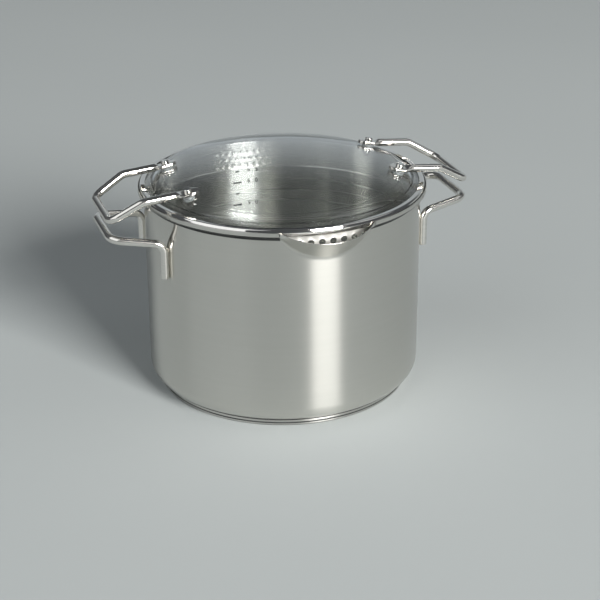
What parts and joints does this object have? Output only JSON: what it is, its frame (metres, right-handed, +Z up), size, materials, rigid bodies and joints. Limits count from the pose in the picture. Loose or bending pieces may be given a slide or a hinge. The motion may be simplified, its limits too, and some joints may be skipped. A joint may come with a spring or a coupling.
{
  "type": "pasta pot with strainer lid",
  "caption": "Tall straight-sided steel pot with a pouring spout, rod handles and a domed glass lid whose perforated collar turns to strain coarse, strain fine or stay closed.",
  "frame": {"origin": "centre of the base's underside, on the pot's axis", "axes": "+Z up along the pot's axis, -Y towards the pouring spout, the handles along +X and -X; left is -X, right is +X, front is -Y, rear is +Y"},
  "size_m": [0.327, 0.263, 0.2043],
  "materials": {
    "pot_steel": "satin outside, brushed round the inside",
    "polished_steel": "mirror polished",
    "glass": "clear tempered glass",
    "core": "bare",
    "silicone": "matte, slightly translucent"
  },
  "bodies": {
    "pot": {"pot_body": "pot_steel", "base_core": "core", "base_cap": "pot_steel", "pot_handle_left": "polished_steel", "pot_handle_right": "polished_steel"},
    "rim": {"lid_rim": "polished_steel"},
    "lid": {"lid_glass": "glass", "strainer_collar": "polished_steel", "lid_handle_left": "polished_steel", "lid_handle_right": "polished_steel", "lid_screws": "polished_steel", "lid_washers": "polished_steel", "lid_nuts": "polished_steel", "upper_gasket_front_left": "silicone", "upper_gasket_front_right": "silicone", "upper_gasket_rear_left": "silicone", "upper_gasket_rear_right": "silicone", "lower_gasket_front_left": "silicone", "lower_gasket_front_right": "silicone", "lower_gasket_rear_left": "silicone", "lower_gasket_rear_right": "silicone"}
  },
  "joints": [
    {"name": "lid_lift", "type": "slide", "parent": "pot", "child": "rim", "axis": [0, 0, 1], "range_m": [0, 0.12]},
    {"name": "lid_turn", "type": "hinge", "parent": "rim", "child": "lid", "pos_m": [0, 0, 0.18], "axis": [0, 0, 1], "continuous": true}
  ]
}
